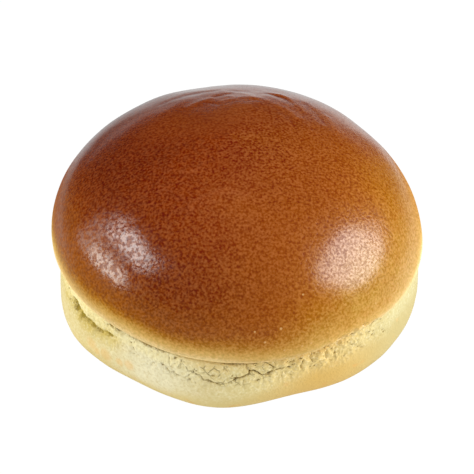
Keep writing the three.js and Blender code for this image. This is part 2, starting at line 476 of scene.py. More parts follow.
# %% Place the pits and crumbs
# Each dent is (bearing, drop, radius, depth)
CLEFT_PITS = [
    (-66.0, 2.7, 0.7, 0.5),
    (-63.0, 3.4, 0.8, 0.6),
    (-60.5, 4.0, 1.2, 0.8),
    (-59.8, 5.1, 0.9, 0.7),
    (-56.4, 5.5, 1.1, 0.8),
    (-53.8, 5.4, 1.0, 0.7),
    (-51.3, 5.7, 0.9, 0.7),
    (-49.3, 5.2, 1.2, 0.6),
    (-48.3, 5.9, 0.9, 0.5),
    (-44.2, 5.0, 0.8, 0.6),
    (-43.3, 1.4, 0.8, 0.6),
    (-40.2, 0.7, 0.9, 0.7),
    (-36.4, 0.3, 0.8, 0.7),
]
TORN_CRUMBS = [
    (-41.5, 1.8, 1.3, -0.8),
    (-39.0, 2.1, 0.9, -0.5),
    (24.8, 3.0, 1.9, -0.7),
    (20.8, 3.6, 1.0, -0.5),
    (17.5, 3.0, 1.2, -0.55),
    (29.0, 3.4, 1.2, -0.55),
    (13.5, 2.0, 1.0, -0.45),
    (33.5, 3.0, 1.3, -0.5),
    (36.5, 2.2, 1.1, -0.45),
    (31.0, 5.2, 1.3, -0.4),
    (26.5, 5.8, 1.2, -0.4),
    (39.5, 3.4, 1.2, -0.4),
    (43.5, 2.4, 1.1, -0.35),
    (-61.5, 5.6, 1.1, -0.4),
    (-57.5, 6.8, 1.0, -0.35),
    (-54.0, 4.2, 0.9, -0.4),
    (-50.5, 7.0, 1.1, -0.35),
    (16.0, 0.3, 1.0, -0.5),
    (19.5, 0.7, 1.2, -0.7),
    (23.0, 0.0, 1.1, -0.6),
    (26.5, 0.6, 1.3, -0.8),
    (30.0, 0.0, 1.1, -0.7),
    (33.5, 0.7, 1.2, -0.8),
    (37.0, 0.1, 1.1, -0.7),
    (40.5, 0.7, 1.3, -0.7),
    (44.5, 0.2, 1.1, -0.6),
    (48.5, 0.6, 1.2, -0.5),
    (24.5, -0.9, 1.0, -0.4),
    (29.0, -1.3, 0.9, -0.4),
    (34.0, -1.0, 1.1, -0.5),
    (38.5, -1.5, 0.9, -0.4),
    (42.5, -1.0, 1.0, -0.4),
    (46.5, -1.3, 0.9, -0.35),
]
LIP_PITS = [
    (31.5, -1.6, 0.6, 0.4),
    (36.2, -0.4, 0.6, 0.45),
    (40.8, -1.9, 0.6, 0.4),
    (44.6, -0.6, 0.6, 0.4),
]
# Each scatter is (first bearing, last bearing, top drop, bottom drop, count)
PIT_SCATTERS = [
    (12, 50, 0.5, 7, 60),
    (-46, 12, 1, 8, 45),
    (95, 240, 0.5, 8, 150),
    (-100, -50, 2, 7, 26),
]
SMALL_PIT_RADII = (0.25, 0.5)
SMALL_PIT_DEPTH = 0.7  # as a share of its radius
pit_draws = random.Random(11)
dents = TORN_CRUMBS + LIP_PITS + CLEFT_PITS
for first, last, top, bottom, count in PIT_SCATTERS:
    for _ in range(count):
        pit_radius = pit_draws.uniform(*SMALL_PIT_RADII)
        pit_place = (pit_draws.uniform(first, last), pit_draws.uniform(top, bottom))
        dents.append((*pit_place, pit_radius, SMALL_PIT_DEPTH * pit_radius))
print(len(dents), "pits and crumbs placed")

# %% Sink the pits and raise the crumbs
PIT_STRETCH = 1.6  # a pit is wider than it is tall
PIT_RAGGED = 0.3
PIT_SEAM_SHARE = 0.6
# How dark the painted shade in a pit is, with no depth and for each millimetre of it
PIT_DARK = (0.55, 0.6)
pit_sink = np.zeros(len(bearing))
for pit_bearing, pit_drop, pit_radius, pit_depth in dents:
    widened = PIT_STRETCH if pit_depth > 0 else 1
    across = turn(pit_bearing, bearing) * DEGREE_MM / widened + PIT_RAGGED * ragged_round
    gap = np.hypot(across, drop - pit_drop + PIT_RAGGED * ragged_down)
    pit_sink += pit_depth * np.exp(-((gap / pit_radius) ** 2))
    if pit_depth > 0:
        dark = min(PIT_DARK[0] + PIT_DARK[1] * pit_depth, 1)
        seam = np.maximum(seam, seam_shade_of(gap, PIT_SEAM_SHARE * pit_radius, dark))
print("The deepest pit sinks", round(float(pit_sink.max()), 1), "mm")

# %% [markdown]
# Crags and shreds.
# Between the cracks the crumb is craggy where the dough tore most, and on the front left it only
# stretched, which drew fine upright shreds. How torn the waist is changes with the bearing, and a band
# below the crease holds it.

# %% Raise the crags
TORN = 0.45
TORN_SWELLS = [
    (8, 20, 0.35),
    (30, 14, 0.6),
    (74, 24, -0.45),
    (-58, 16, 0.4),
    (168, 32, 0.4),
    (118, 18, 0.35),
    (-120, 26, -0.35),
]
TORN_LIP_SWELLS = [(38, 16, 2.8)]
TORN_MOST = 1.2
TORN_FADES_IN = (0.1, 1.0)
TORN_FADES_OUT = (6.0, 10.0)
TORN_RAGGED = 1.5
CRAG_HEIGHT = 0.55
CRAG_LUMP_PITCH = 4.6
CRAG_FOLD_PITCH = 2.6
FINE_CRAG_HEIGHT = 0.28
FINE_CRAG_PITCH = 1.2
SHRED_HEIGHT = 0.14
SHRED_PITCH = 0.9
SHRED_DRAWN = np.array([1, 1, 0.16])
SHREDS_LOST = 0.8  # share of the shreds that is lost where the dough tore
HEEL_ROLL = 0.12
HEEL_ROLL_PITCH = 7
HEEL_FADES_IN = (0.5, 4)  # heights over the tray
HEEL_FADES_OUT = (-2, 2)  # heights over the crease
torn_amount = np.clip(TORN + swelling(bearing, TORN_SWELLS), 0, TORN_MOST)
torn_top = drop + swelling(bearing, TORN_LIP_SWELLS)
torn_bottom = drop + TORN_RAGGED * ragged_down
torn_band = smooth_step(torn_top, *TORN_FADES_IN) * (1 - smooth_step(torn_bottom, *TORN_FADES_OUT))
torn = torn_amount * torn_band
coarse_crags = 0.5 * lumps(plain, CRAG_LUMP_PITCH, 3) - 0.5 * ridged(plain, CRAG_FOLD_PITCH, 4)
fine_crags = -ridged(plain, FINE_CRAG_PITCH, 5)
shreds = lumps(plain * SHRED_DRAWN, SHRED_PITCH, 6) * torn_band
shreds = shreds * np.clip(1 - SHREDS_LOST * torn_amount, 0, 1)
crag_rise = torn * (CRAG_HEIGHT * coarse_crags + FINE_CRAG_HEIGHT * fine_crags) + SHRED_HEIGHT * shreds
heel_band = smooth_step(z, *HEEL_FADES_IN) * (1 - smooth_step(-drop, *HEEL_FADES_OUT))
heel_rise = HEEL_ROLL * lumps(plain, HEEL_ROLL_PITCH, 7) * heel_band
print("Crags stand", round(float(crag_rise.max()), 2), "mm proud at most")

# %% [markdown]
# The dome.
# The glazed skin looks smooth, but it rolls gently as leather does, and it wrinkled a little where the
# bun shrank as it cooled: a few faint arcs near the top, and short streaks round the back shoulder.
# These are low ridges drawn as lines seen from above. In the colour, a painted highlight runs along each
# ridge and painted shade along each fold.

# %% Draw the wrinkles
# Each wrinkle is (height, half width, points), with points as (x, y) in millimetres
TOP_WRINKLES = [
    (0.16, 0.7, [(-14, -26.1), (-11.3, -23.8), (-7, -22), (-4.7, -21.4), (-2.9, -21.4), (1, -23.1)]),
    (0.10, 0.7, [(-14.2, -27.6), (-11, -25.4), (-7, -24.2)]),
    (0.10, 0.6, [(-6.4, -20.9), (-4.8, -20.3), (-2.4, -20)]),
    (-0.10, 0.9, [(7.5, -24.2), (12, -24.2), (18.5, -22)]),
    (0.12, 0.7, [(-16, -14.6), (-13.1, -14.2), (-11.5, -13.1), (-9.6, -11.3)]),
    (0.08, 0.7, [(-21.3, -20.2), (-20, -19.1)]),
    (0.10, 0.6, [(-44.8, -18.9), (-45.1, -20.7), (-45.5, -23.2), (-45.9, -25.5)]),
]
STREAK_COUNT = 40
STREAK_BEARINGS = (112, 246)
STREAK_BAND = (18, 34)
STREAK_REACH = (4, 12)
STREAK_DRIFT = 1.5
STREAK_STEPS = (-1, -0.4, 0.3, 1)
STREAK_HEIGHT = 0.15
STREAK_HALF_WIDTHS = (0.7, 1.1)
streak_draws = random.Random(5)
dome_wrinkles = list(TOP_WRINKLES)
for _ in range(STREAK_COUNT):
    middle = streak_draws.uniform(*STREAK_BEARINGS)
    reach = streak_draws.uniform(*STREAK_REACH)
    out = streak_draws.uniform(*STREAK_BAND)
    drift = streak_draws.uniform(-STREAK_DRIFT, STREAK_DRIFT)
    points = []
    for step in STREAK_STEPS:
        angle = math.radians(middle + step * reach)
        away = out + drift * step
        points.append((DOME_LEAN + away * math.sin(angle), -away * math.cos(angle)))
    height = streak_draws.uniform(-STREAK_HEIGHT, STREAK_HEIGHT)
    dome_wrinkles.append((height, streak_draws.uniform(*STREAK_HALF_WIDTHS), points))
print(len(dome_wrinkles), "wrinkles drawn")

# %% Raise the wrinkles
DOME_FADES_IN = (2, 9)  # heights over the crease
# A wrinkle's ridge gets a painted highlight and its fold painted shade
PAINTED_MARK_HEIGHT = 0.16  # the height of a wrinkle that makes a full mark
# Each roll of the skin is (height, pitch, seed)
SKIN_ROLLS = [(0.09, 9, 8), (0.045, 4, 9)]


def gap_in_plan(points):
    """How far each point of the skin is from a line, seen from above."""
    nearest = np.full(len(bearing), np.inf)
    for start, end in zip(points, points[1:]):
        start = np.array(start)
        step = np.array(end) - start
        away = plain[:, :2] - start
        share = np.clip(away @ step / (step @ step), 0, 1)
        nearest = np.minimum(nearest, np.linalg.norm(away - share[:, None] * step, axis=1))
    return nearest


on_dome = smooth_step(-drop, *DOME_FADES_IN)
wrinkle_rise = np.zeros(len(bearing))
for height, half_width, points in dome_wrinkles:
    wrinkle_rise += height * np.exp(-((gap_in_plan(points) / half_width) ** 2))
skin_roll = sum(height * lumps(plain, pitch, seed) for height, pitch, seed in SKIN_ROLLS)
dome_rise = on_dome * (wrinkle_rise + skin_roll)
# The painted highlight and shade of the wrinkles, and below the painted pools of light
mark = on_dome * wrinkle_rise / PAINTED_MARK_HEIGHT
print("The dome's skin rises by up to", round(float(dome_rise.max()), 2), "mm")

# %% [markdown]
# The skin as a mesh.
# The waist's relief moves points in and out along their radius, and the dome's moves them up, as in the
# solid. Rings of equal length join by quads. Where a fine ring meets a coarse one, each face takes
# in three of the fine edges, so the skin stays closed with no stray edge.

# %% Place the points
DOME_LUMP = 0.3
DOME_LUMP_PITCH = 13
# The waves of the dome's swellings along x, y and z: share of the pitch, and start in radians
DOME_LUMP_WAVES = [(1.0, 0.6), (0.8, 1.1), (0.7, 0.3)]
FLAT_FOOT = (0.0, 1.5)  # the relief starts between these heights
CREASE_HIDES = 0.7  # share of the cracks that is lost inside the crease

off_floor = smooth_step(z, *FLAT_FOOT)
sunk = crease_sink + (crack_sink + pit_sink) * (1 - CREASE_HIDES * crease_shape)
skin = places(radius - off_floor * (sunk - crag_rise - heel_rise))
dome_lump = DOME_LUMP * rise
for axis, (share, start) in enumerate(DOME_LUMP_WAVES):
    dome_lump = dome_lump * np.sin(math.pi * share * plain[:, axis] / DOME_LUMP_PITCH + start)
skin[:, 2] += dome_lump + dome_rise

middle = (plain.min(axis=0) + plain.max(axis=0)) / 2
skin[:, :2] -= middle[:2]
print("The skin's box:", np.round(skin.min(axis=0), 1), np.round(skin.max(axis=0), 1), "mm")


# %% Join the rings
def band_faces(lower, upper):
    """Faces between two rings, given as lists of point numbers counted the same way round."""
    if len(lower) == 1:
        return [(lower[0], upper[k], upper[k - 1]) for k in range(len(upper))]
    if len(upper) == 1:
        return [(lower[k - 1], lower[k], upper[0]) for k in range(len(lower))]
    faces = []
    count = min(len(lower), len(upper))
    below = len(lower) // count
    above = len(upper) // count
    for k in range(count):
        along = [lower[(below * k + step) % len(lower)] for step in range(below + 1)]
        back = [upper[(above * k + step) % len(upper)] for step in range(above + 1)]
        faces.append((*along, *reversed(back)))
    return faces


ends = np.cumsum([0] + ring_lengths)
numbers = [list(range(ends[k], ends[k + 1])) for k in range(len(ring_lengths))]
faces = [face for lower, upper in zip(numbers, numbers[1:]) for face in band_faces(lower, upper)]

bun_mesh = bpy.data.meshes.new("bun_skin")
bun_mesh.from_pydata((skin * MM).tolist(), [], faces)
bun_mesh.validate()
bun_mesh.shade_smooth()
bun = bpy.data.objects.new("bun_skin", bun_mesh)
bpy.context.scene.collection.objects.link(bun)
triangles = sum(len(face) - 2 for face in faces)
print("The skin has", len(faces), "faces, or", triangles, "triangles")

# %% [markdown]
# What each point is like.
# A few numbers at each point of the mesh drive the finish. Above is the height over the crease. Bake is
# how brown the oven made it, with a browner left side that is partly painted shade, and painted pools
# of light on the top. On the left the crust goes from cream to chestnut within a finger's width over
# the lip. On the right it is gold as fast, but stays gold far up the dome. The lip's edge stayed pale
# in places, so the browning starts higher there.

# %% Work out the bake
RIGHT_BEARING = 72
RIGHT_WIDTH = 64
BROWN_RISE = 9.0
BROWN_CURVE = 1.35
GOLD_BAKE = 0.325
GOLD_RISE = 2.6
GOLD_CURVE = 1.2
TOP_RISE = 38
TOP_BAKE = 0.66
TOP_CURVE = 2.3
PALE_LIP_SWELLS = [(-86, 22, 3.8), (-34, 18, 1.7), (-6, 12, 0.7), (84, 26, 3.4)]
# Where the brown is less red, round the bun, and the heights over the crease where that starts and ends:
# on the left the crust's own tone, on the right a cooler tone painted where the right highlight falls
SALLOW_AND_HIGHLIGHT_SWELLS = [(-38, 42, 1.0), (-90, 20, 0.4), (46, 18, 0.5)]
SALLOW_FROM = (4, 9)
SALLOW_TO = (20, 34)
# A darker side is (bearing, width, extra bake, first heights, last heights), partly a browner crust and
# partly painted shade: it fades in over the crease between the two first heights, and out between the
# two last
BROWNER_AND_SHADED_SIDES = [
    (-85, 45, 0.18, (18, 28), (30, 39)),
    (-28, 22, 0.12, (5, 10), (20, 29)),
]
# Each painted pool of light is (x, y, radius, less bake), seen from above; it also adds to the painted
# light mark
PAINTED_LIGHT_PATCHES = [(-1, -27, 9, 0.05), (1, 14, 9, 0.06)]
PATCH_MARK = 0.6

above = -drop
lifted = np.maximum(above - swelling(bearing, PALE_LIP_SWELLS), 0)
right = np.exp(-((turn(RIGHT_BEARING, bearing) / RIGHT_WIDTH) ** 4))
left_bake = 1 - np.exp(-((lifted / BROWN_RISE) ** BROWN_CURVE))
right_bake = GOLD_BAKE * (1 - np.exp(-((lifted / GOLD_RISE) ** GOLD_CURVE)))
right_bake += TOP_BAKE * (lifted / TOP_RISE) ** TOP_CURVE
bake_light_and_shade = left_bake + right * (right_bake - left_bake)
for at, width, extra, first_heights, last_heights in BROWNER_AND_SHADED_SIDES:
    bake_light_and_shade += extra * hump(bearing, at, width) * band(above, first_heights, last_heights)
for patch_x, patch_y, patch_radius, patch_bake in PAINTED_LIGHT_PATCHES:
    patch_gap = np.hypot(plain[:, 0] - patch_x, plain[:, 1] - patch_y)
    patch = on_dome * np.exp(-((patch_gap / patch_radius) ** 2))
    bake_light_and_shade -= patch_bake * patch
    mark += PATCH_MARK * patch
sallow = np.clip(swelling(bearing, SALLOW_AND_HIGHLIGHT_SWELLS), 0, 1) * band(above, SALLOW_FROM, SALLOW_TO)
print("The dome's bake runs up to", round(float(bake_light_and_shade.max()), 2))

# %% [markdown]
# The waist's own tones.
# The crumb is whitest at the front left, where it only stretched, and golden at the front right. The
# tan of the heel climbs higher on the right. On the left the torn strip under the lip stayed butter
# yellow, and the front tore into small plates, with hairlines between them.

# %% Store the numbers
GLAZE = 0.5
GLAZE_SWELLS = [(-50, 50, 0.5), (60, 40, -0.3)]
HEEL_CLIMB_SWELLS = [(58, 38, 8), (28, 16, 1.5), (-52, 14, 0.7)]
STRIP_SWELLS = [(-60, 17, 1.0), (-28, 14, 0.5)]
# Stretches of the bun, as (bearing, width)
CRAZED = (-7, 17)
WHITE = (-27, 15)
GOLD = (26, 19)
CRINKLED = (180, 75)
# How far the crust reaches down past the crease, and where the crumb just below it is darker, partly
# tanned and partly painted shade under the lip
LIP_REACH_SWELLS = [(0, 22, 0.7), (46, 20, -0.3)]
UNDER_LIP_TAN_AND_SHADE_SWELLS = [(-6, 20, 0.4), (24, 13, 0.7)]
GRAIN = 0.85
GRAIN_SWELLS = [(-10, 55, 0.3), (80, 55, 1.0), (-150, 60, -0.25)]
# Where these stretches fade in and out, as heights over the crease or drops below it
STRIP_HEIGHTS = ((-5.0, -3.2), (1.0, 2.5))
CRAZED_DROPS = ((0.4, 1.6), (5.5, 8.5))
UNDER_LIP_DROPS = (0.8, 3.4)
CRINKLED_HEIGHTS = (12, 22)
glaze = on_dome * np.clip(GLAZE + swelling(bearing, GLAZE_SWELLS), 0, 1)
strip_band = band(above, *STRIP_HEIGHTS)
crazed_band = band(drop, *CRAZED_DROPS)
under_lip = 1 - smooth_step(drop + ragged_down, *UNDER_LIP_DROPS)

point_values = {
    "above": above,
    "right": right,
    "bake_light_and_shade": bake_light_and_shade,
    "seam": seam,
    "glaze": glaze,
    "mark": mark,
    "crinkle": hump(bearing, *CRINKLED) * smooth_step(above, *CRINKLED_HEIGHTS),
    "sallow": sallow,
    "grain": GRAIN + swelling(bearing, GRAIN_SWELLS),
    "hollow_shade": hollow_shade,
    "white": hump(bearing, *WHITE),
    "gold": hump(bearing, *GOLD),
    "under": swelling(bearing, UNDER_LIP_TAN_AND_SHADE_SWELLS) * under_lip,
    "reach": swelling(bearing, LIP_REACH_SWELLS),
    "climb": swelling(bearing, HEEL_CLIMB_SWELLS),
    "strip": np.clip(swelling(bearing, STRIP_SWELLS), 0, 1) * strip_band,
    "crazed": hump(bearing, *CRAZED) * crazed_band,
}
for name, values in point_values.items():
    attribute = bun_mesh.attributes.new(name, "FLOAT", "POINT")
    attribute.data.foreach_set("value", values.astype(np.float32))
    print(name, "runs from", round(float(values.min()), 2), "to", round(float(values.max()), 2))

# %% [markdown]
# Small helpers for materials.
# A material is a tree of nodes. These helpers make a node, set its inputs and link what is linked in
# one line, so that the trees below read from top to bottom. Colours are written as a painter mixes
# them on screen, from 0 to 255, and turned into the light values that the renderer uses.


# %% Node helpers
def shade(*screen):
    """A colour given from 0 to 255 as seen on screen, as light values."""
    levels = [value / 255 for value in screen]
    light = [v / 12.92 if v < 0.0405 else ((v + 0.055) / 1.055) ** 2.4 for v in levels]
    return (*light, 1.0)


def connect(tree, node, inputs):
    """Sets or links each named input of a node."""
    for key, value in inputs.items():
        if isinstance(value, bpy.types.NodeSocket):
            tree.links.new(value, node.inputs[key])
        else:
            node.inputs[key].default_value = value
    return node


def add(tree, kind, inputs=None, **settings):
    """A node with its settings, its fixed inputs and its links."""
    node = tree.nodes.new("ShaderNode" + kind)
    for key, value in settings.items():
        setattr(node, key, value)
    return connect(tree, node, inputs or {})


def calc(tree, operation, first, second=0.0):
    return add(tree, "Math", {0: first, 1: second}, operation=operation).outputs[0]


def vector_calc(tree, operation, *inputs):
    node = add(tree, "VectorMath", dict(enumerate(inputs)), operation=operation)
    return node.outputs["Value" if operation in ("DISTANCE", "LENGTH") else "Vector"]


def fade(tree, value, low, high, start=0.0, end=1.0):
    """Goes smoothly from start to end as the value goes from low to high."""
    limits = {"Value": value, "From Min": low, "From Max": high, "To Min": start, "To Max": end}
    return add(tree, "MapRange", limits, interpolation_type="SMOOTHSTEP").outputs[0]


def blend(tree, share, first, second):
    return add(tree, "Mix", {0: share, 6: first, 7: second}, data_type="RGBA").outputs[2]


def speckle(tree, place, pitch, detail=2.0):
    """Noise from 0 to 1 with lumps of a pitch in millimetres."""
    inputs = {"Vector": place, "Scale": 1 / (pitch * MM), "Detail": detail}
    return add(tree, "TexNoise", inputs).outputs[0]


print("A mid brown as light:", [round(v, 3) for v in shade(143, 71, 20)])

# %% Spot and group helpers
# In radii of a spot: a distance past them all, and where a spot's edge starts and ends
FAR_AWAY = 9.0
SPOT_EDGE = (0.4, 1.3)


def spot_share(tree, place, spots):
    """1 inside round spots and 0 outside, each given by a bearing, a height and a radius."""
    nearest = FAR_AWAY
    for spot_bearing, spot_z, spot_radius in spots:
        closest = np.argmin(np.hypot(turn(spot_bearing, bearing), z - spot_z))
        gap = vector_calc(tree, "DISTANCE", place, tuple(skin[closest] * MM))
        nearest = calc(tree, "MINIMUM", nearest, calc(tree, "DIVIDE", gap, spot_radius * MM))
    return fade(tree, nearest, *SPOT_EDGE, 1.0, 0.0)


def new_group(name, inputs, outputs):
    """An empty shader group with named sockets, its input node and its output node."""
    group = bpy.data.node_groups.new(name, "ShaderNodeTree")
    for label, kind in inputs:
        group.interface.new_socket(label, in_out="INPUT", socket_type="NodeSocket" + kind)
    for label, kind in outputs:
        group.interface.new_socket(label, in_out="OUTPUT", socket_type="NodeSocket" + kind)
    return group, group.nodes.new("NodeGroupInput").outputs, group.nodes.new("NodeGroupOutput").inputs


def place_group(tree, group, inputs):
    node = tree.nodes.new("ShaderNodeGroup")
    node.node_tree = group
    return connect(tree, node, inputs).outputs


print("A spot has faded out at", SPOT_EDGE[1], "times its radius")

# %% [markdown]
# Pebbled skin.
# Seen close, the glaze is pebbled: the crumb's bubbles push through as dots under a millimetre apart,
# a little lighter on top. Where the egg wash dried thick it also shrank into fine worm-like ridges,
# and round the back shoulder into long crinkles. Fine noise gives the dots and the worms, and noise
# drawn out sideways the crinkles. Their heights go into the bump. The wash is a clear film that is
# thinner in the gaps between them, so the gaps shine less.

# %% Group: pebbled skin
PEBBLE_PITCH = 0.7
DOT_RANGE = (0.22, 0.78)
PEBBLE_MM = 0.014
RIGHT_PEBBLE_MM = 0.035
THICK_GLAZE = (0.4, 1.0)
WORM_PITCH = 1.15
WORM_GAPS = (0.57, 0.43)
WORM_MM = 0.08
CRINKLE_PITCH = 0.85
CRINKLE_DRAWN = (0.3, 1, 1)
CRINKLE_MM = 0.11
WORM_THIN = 0.95
PEBBLE_THIN = 0.8
pebbles, at, out = new_group(
    "Pebbled skin",
    [("Place", "Vector"), ("Glaze", "Float"), ("Crinkle", "Float"), ("Right", "Float")],
    [("Dots", "Float"), ("Height", "Float"), ("Film", "Float")],
)
grain = speckle(pebbles, at["Place"], PEBBLE_PITCH, 1.0)
dots = fade(pebbles, grain, *DOT_RANGE)
pebbles.links.new(dots, out["Dots"])
pebble_height = fade(pebbles, at["Right"], 0.0, 1.0, PEBBLE_MM, RIGHT_PEBBLE_MM)
height = calc(pebbles, "MULTIPLY", dots, pebble_height)
thick = fade(pebbles, at["Glaze"], *THICK_GLAZE)
worms = speckle(pebbles, at["Place"], WORM_PITCH, 1.0)
gaps = calc(pebbles, "MULTIPLY", fade(pebbles, worms, *WORM_GAPS), thick)
drawn = vector_calc(pebbles, "MULTIPLY", at["Place"], CRINKLE_DRAWN)
for share, texture, tall in [
    (thick, worms, WORM_MM),
    (at["Crinkle"], speckle(pebbles, drawn, CRINKLE_PITCH, 1.0), CRINKLE_MM),
]:
    folds = calc(pebbles, "MULTIPLY", calc(pebbles, "MULTIPLY", texture, share), tall)
    height = calc(pebbles, "ADD", height, folds)
pebbles.links.new(height, out["Height"])
film = calc(pebbles, "SUBTRACT", 1.0, calc(pebbles, "MULTIPLY", gaps, WORM_THIN))
pebble_gaps = calc(pebbles, "MULTIPLY", fade(pebbles, dots, 0.0, 1.0, PEBBLE_THIN, 0.0), at["Right"])
pebbles.links.new(calc(pebbles, "SUBTRACT", film, pebble_gaps), out["Film"])
print("Pebbled skin has", len(pebbles.nodes), "nodes")

# %% [markdown]
# Oven browning.
# Crust goes from cream through gold to chestnut as it bakes. One ramp holds those colours, and the bake
# number, with the painted light and shade that it carries, picks from it. Broad blotches shift the
# number a little, so no two places match. The pebbles' dots then lighten the colour, or darken it
# between them. The wrinkles add a painted highlight on their ridges and painted shade in their folds,
# and the painted pools of light lighten it too. A few blisters in the glaze show as pale specks.

# %% Browning colours
CRUST_STOPS = [
    (0.00, shade(246, 216, 148)),
    (0.06, shade(236, 202, 133)),
    (0.12, shade(223, 184, 107)),
    (0.20, shade(216, 172, 88)),
    (0.34, shade(197, 141, 53)),
    (0.47, shade(179, 109, 18)),
    (0.60, shade(164, 87, 9)),
    (0.72, shade(158, 79, 10)),
    (0.82, shade(155, 76, 12)),
    (0.90, shade(149, 70, 12)),
    (1.00, shade(141, 59, 11)),
    (1.10, shade(130, 51, 9)),
    (1.20, shade(118, 44, 8)),
]
STOP_SPAN = 1.2
print(len(CRUST_STOPS), "colours from cream to chestnut")

# %% Group: oven browning
# Each blotch is (pitch, detail, change of bake)
BLOTCHES = [(11.0, 3.0, 0.12), (1.8, 2.0, 0.10)]
# The dots' change of bake, between a pale bake and a brown one
DOT_BAKES = (0.2, 0.8)
DOT_CHANGES = (-0.06, -0.12)
GRAIN_LIGHT = (0.12, 0.05, 0.02)
SALLOW_AND_HIGHLIGHT_TINT = (0.87, 1.05, 1.1, 1)
PAINTED_MARK_LIGHT = 0.35
SPECK_SHARE = 0.7
SPECK_COLOUR = shade(228, 180, 112)
# Each speck is (bearing, height, radius) in degrees and millimetres
PALE_SPECKS = [
    (23, 40, 0.3),
    (14, 32.6, 0.4),
    (22, 26.9, 0.35),
    (19, 26.5, 0.3),
    (14, 26.2, 0.3),
    (46, 30.3, 0.3),
    (6, 32.7, 0.3),
    (8.5, 29.3, 0.35),
]
browning, at, out = new_group(
    "Oven browning",
    [("Place", "Vector"), ("Bake", "Float"), ("Dots", "Float"), ("Mark", "Float")]
    + [("Grain", "Float"), ("Sallow", "Float")],
    [("Color", "Color")],
)
shifts = [(speckle(browning, at["Place"], pitch, detail), change) for pitch, detail, change in BLOTCHES]
shifts.append((at["Dots"], fade(browning, at["Bake"], *DOT_BAKES, *DOT_CHANGES)))
shifted = at["Bake"]
for texture, change in shifts:
    centred = calc(browning, "SUBTRACT", texture, 0.5)
    shifted = calc(browning, "ADD", shifted, calc(browning, "MULTIPLY", centred, change))
ramp = add(browning, "ValToRGB", {0: calc(browning, "DIVIDE", shifted, STOP_SPAN)})
stops = ramp.color_ramp.elements
for position, colour in CRUST_STOPS[1:-1]:
    stops.new(position / STOP_SPAN)
for stop, (position, colour) in zip(stops, CRUST_STOPS):
    stop.position = position / STOP_SPAN
    stop.color = colour
# Grain from the dots, plus the painted highlight and shade of the mark
grain_and_painted_light = calc(browning, "SUBTRACT", at["Dots"], 0.5)
grain_and_painted_light = calc(browning, "MULTIPLY", grain_and_painted_light, at["Grain"])
grain_and_painted_light = calc(browning, "ADD", grain_and_painted_light, calc(browning, "MULTIPLY", at["Mark"], PAINTED_MARK_LIGHT))
# Less red: the crust's own tone on the left, a painted highlight tone on the right
tint = blend(browning, at["Sallow"], (1, 1, 1, 1), SALLOW_AND_HIGHLIGHT_TINT)
tinted = vector_calc(browning, "MULTIPLY", ramp.outputs["Color"], tint)
grained_with_painted_light = vector_calc(browning, "MULTIPLY_ADD", GRAIN_LIGHT, grain_and_painted_light, tinted)
specks = calc(browning, "MULTIPLY", spot_share(browning, at["Place"], PALE_SPECKS), SPECK_SHARE)
browning.links.new(blend(browning, specks, grained_with_painted_light, SPECK_COLOUR), out["Color"])
print("Oven browning has", len(browning.nodes), "nodes")

# %% [markdown]
# Torn crumb.
# Where the skin tore, pale crumb shows. It is cream with yellow drifts from egg and butter, grainy, and
# painted darker and greener down in the seams as the shade where little light reaches. Where it tore
# into plates, a network of hairlines runs between them, painted darker as shade in those fine cracks:
# the edges of random cells, bent by noise and partly hidden.

# %% Group: torn crumb, its tones
CREAM = shade(224, 210, 153)
YELLOW_DRIFT = shade(219, 200, 139)
CRUMB_TONES = [
    ("White", shade(228, 220, 183)),
    ("Right", shade(208, 198, 146)),
    ("Gold", shade(229, 201, 130)),
    # Partly the crumb's tan and partly painted shade under the lip
    ("Under", shade(223, 184, 106)),
    # Painted shade in the hollow round the cleft
    ("Hollow_Shade", shade(204, 180, 84)),
    ("Strip", shade(239, 226, 166)),
]
DRIFT_PITCH = 5.0
DRIFT_RANGE = (0.35, 0.65)
GRAIN_PITCH = 0.7
# Each grain is (colour, two limits of the noise, its share at each limit)
CRUMB_GRAINS = [
    (shade(200, 176, 106), (0.3, 0.52), (0.4, 0.0)),
    (shade(250, 240, 200), (0.5, 0.7), (0.0, 0.35)),
]
crumb, at, out = new_group(
    "Torn crumb",
    [("Place", "Vector"), ("Seam", "Float"), ("White", "Float"), ("Gold", "Float"), ("Right", "Float")]
    + [("Strip", "Float"), ("Crazed", "Float"), ("Hollow_Shade", "Float"), ("Under", "Float")],
    [("Color", "Color"), ("Line", "Float"), ("Height", "Float")],
)
drifts = fade(crumb, speckle(crumb, at["Place"], DRIFT_PITCH, 3.0), *DRIFT_RANGE)
tone = blend(crumb, drifts, CREAM, YELLOW_DRIFT)
for label, colour in CRUMB_TONES:
    tone = blend(crumb, at[label], tone, colour)
grains = speckle(crumb, at["Place"], GRAIN_PITCH, 3.0)
for colour, limits, shares in CRUMB_GRAINS:
    tone = blend(crumb, fade(crumb, grains, *limits, *shares), tone, colour)
print("The crumb mixes", 2 + len(CRUMB_TONES) + len(CRUMB_GRAINS), "tones")

# %% Group: torn crumb, its lines
# Painted shade down in the hairline cracks between the plates
HAIRLINE_SHADE_COLOUR = shade(184, 166, 112)
HAIRLINE_MM = 0.2
HAIRLINE_DEPTH = 0.25
PLATE_PITCH = 2.6
PLATE_BEND = 1.3
BEND_PITCH = 2
SHOWN_PITCH = 3.5
SHOWN_RANGE = (0.42, 0.56)
SEAM_SHARE = 0.9
SEAM_RAGGED = 0.6
SEAM_RAGGED_PITCH = 0.6
